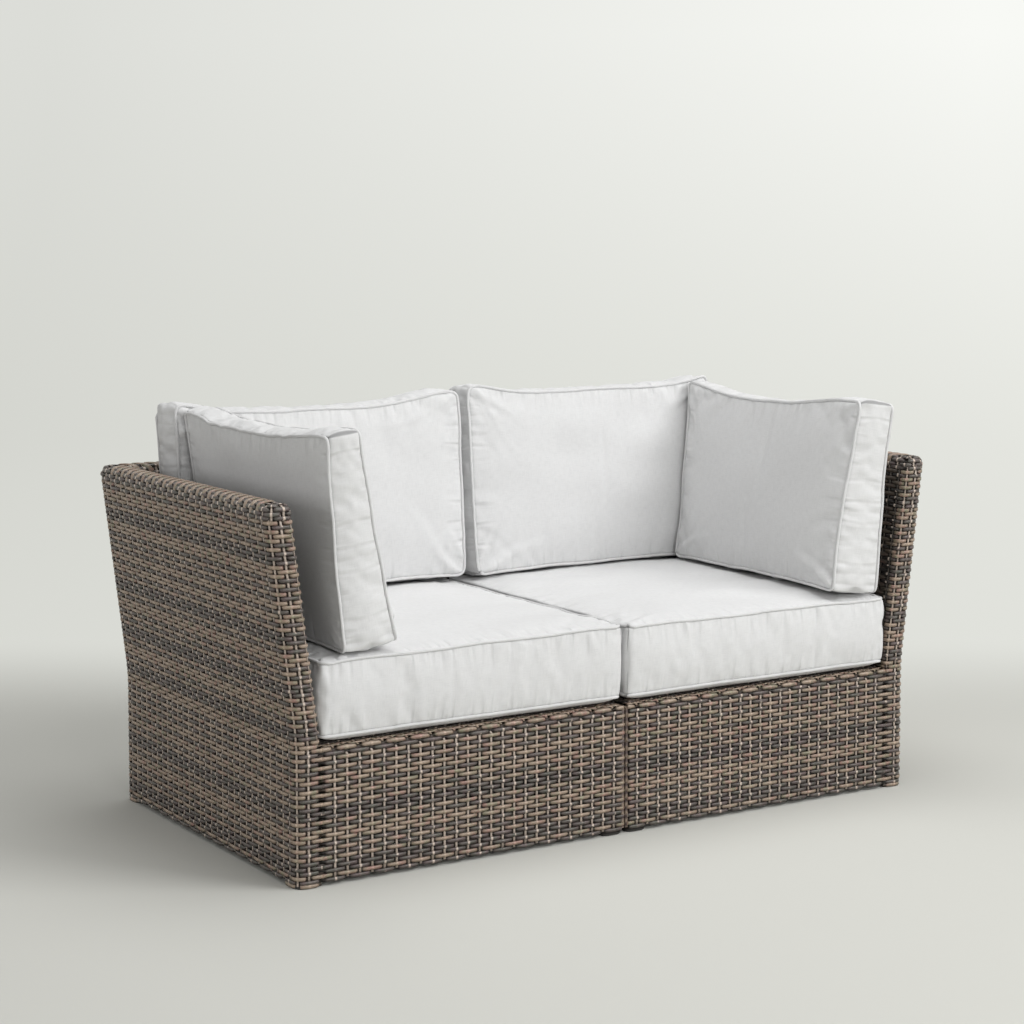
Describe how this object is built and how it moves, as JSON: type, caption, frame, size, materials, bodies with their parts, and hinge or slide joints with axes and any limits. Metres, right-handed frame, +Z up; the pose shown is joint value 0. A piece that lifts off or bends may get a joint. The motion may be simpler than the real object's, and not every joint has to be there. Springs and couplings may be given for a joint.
{
  "type": "patio loveseat",
  "caption": "Patio loveseat: two woven corner modules clipped side by side, outward-flared arms, an upright back, and thick loose seat, back and side box cushions",
  "frame": {"origin": "on the floor, under the middle of the seat, halfway between the two arms and between the front and back faces", "axes": "+X is the sitter's left, towards the arm on the right of the picture; +Y points from the front to the back; +Z is up"},
  "size_m": [1.514, 0.762, 0.8111],
  "materials": {
    "woven_strand": "woven polyethylene strand, taupe and dark brown, matte",
    "frame_metal": "dark brown powder coat on aluminium tube",
    "glides": "moulded dark plastic",
    "clips": "moulded black plastic",
    "cushion_fabric": "pale grey-white woven outdoor fabric over foam"
  },
  "bodies": {
    "frame": {"joining_clips": "clips", "left_back_cap": "woven_strand", "left_back_lining": "woven_strand", "left_back_outer_post": "frame_metal", "left_back_panel": "woven_strand", "left_back_seam_post": "frame_metal", "left_base_rail_back": "frame_metal", "left_base_rail_front": "frame_metal", "left_base_rail_seam": "frame_metal", "left_base_rail_side": "frame_metal", "left_deck_panel": "woven_strand", "left_deck_rail_back": "frame_metal", "left_deck_rail_front": "frame_metal", "left_deck_rail_seam": "frame_metal", "left_deck_rail_side": "frame_metal", "left_front_outer_post": "frame_metal", "left_front_panel": "woven_strand", "left_front_seam_post": "frame_metal", "left_glides": "glides", "left_seam_panel": "woven_strand", "left_side_cap": "woven_strand", "left_side_lining": "woven_strand", "left_side_panel": "woven_strand", "left_slats": "frame_metal", "left_top_rail_back": "frame_metal", "left_top_rail_side": "frame_metal", "right_back_cap": "woven_strand", "right_back_lining": "woven_strand", "right_back_outer_post": "frame_metal", "right_back_panel": "woven_strand", "right_back_seam_post": "frame_metal", "right_base_rail_back": "frame_metal", "right_base_rail_front": "frame_metal", "right_base_rail_seam": "frame_metal", "right_base_rail_side": "frame_metal", "right_deck_panel": "woven_strand", "right_deck_rail_back": "frame_metal", "right_deck_rail_front": "frame_metal", "right_deck_rail_seam": "frame_metal", "right_deck_rail_side": "frame_metal", "right_front_outer_post": "frame_metal", "right_front_panel": "woven_strand", "right_front_seam_post": "frame_metal", "right_glides": "glides", "right_seam_panel": "woven_strand", "right_side_cap": "woven_strand", "right_side_lining": "woven_strand", "right_side_panel": "woven_strand", "right_slats": "frame_metal", "right_top_rail_back": "frame_metal", "right_top_rail_side": "frame_metal"},
    "left_seat_cushion": {"left_seat_cushion": "cushion_fabric"},
    "left_back_cushion": {"left_back_cushion": "cushion_fabric"},
    "left_side_cushion": {"left_side_cushion": "cushion_fabric"},
    "right_seat_cushion": {"right_seat_cushion": "cushion_fabric"},
    "right_back_cushion": {"right_back_cushion": "cushion_fabric"},
    "right_side_cushion": {"right_side_cushion": "cushion_fabric"}
  },
  "joints": [
    {"name": "left_seat_lift", "type": "slide", "parent": "frame", "child": "left_seat_cushion", "axis": [0, 0, 1], "range_m": [0, 0.46]},
    {"name": "left_back_lift", "type": "slide", "parent": "left_seat_cushion", "child": "left_back_cushion", "axis": [0, 0.0698, 0.9976], "range_m": [0, 0.45]},
    {"name": "left_side_lift", "type": "slide", "parent": "left_seat_cushion", "child": "left_side_cushion", "axis": [-0.1273, 0, 0.9919], "range_m": [0, 0.45]},
    {"name": "right_seat_lift", "type": "slide", "parent": "frame", "child": "right_seat_cushion", "axis": [0, 0, 1], "range_m": [0, 0.46]},
    {"name": "right_back_lift", "type": "slide", "parent": "right_seat_cushion", "child": "right_back_cushion", "axis": [0, 0.0698, 0.9976], "range_m": [0, 0.45]},
    {"name": "right_side_lift", "type": "slide", "parent": "right_seat_cushion", "child": "right_side_cushion", "axis": [0.1273, 0, 0.9919], "range_m": [0, 0.45]}
  ]
}
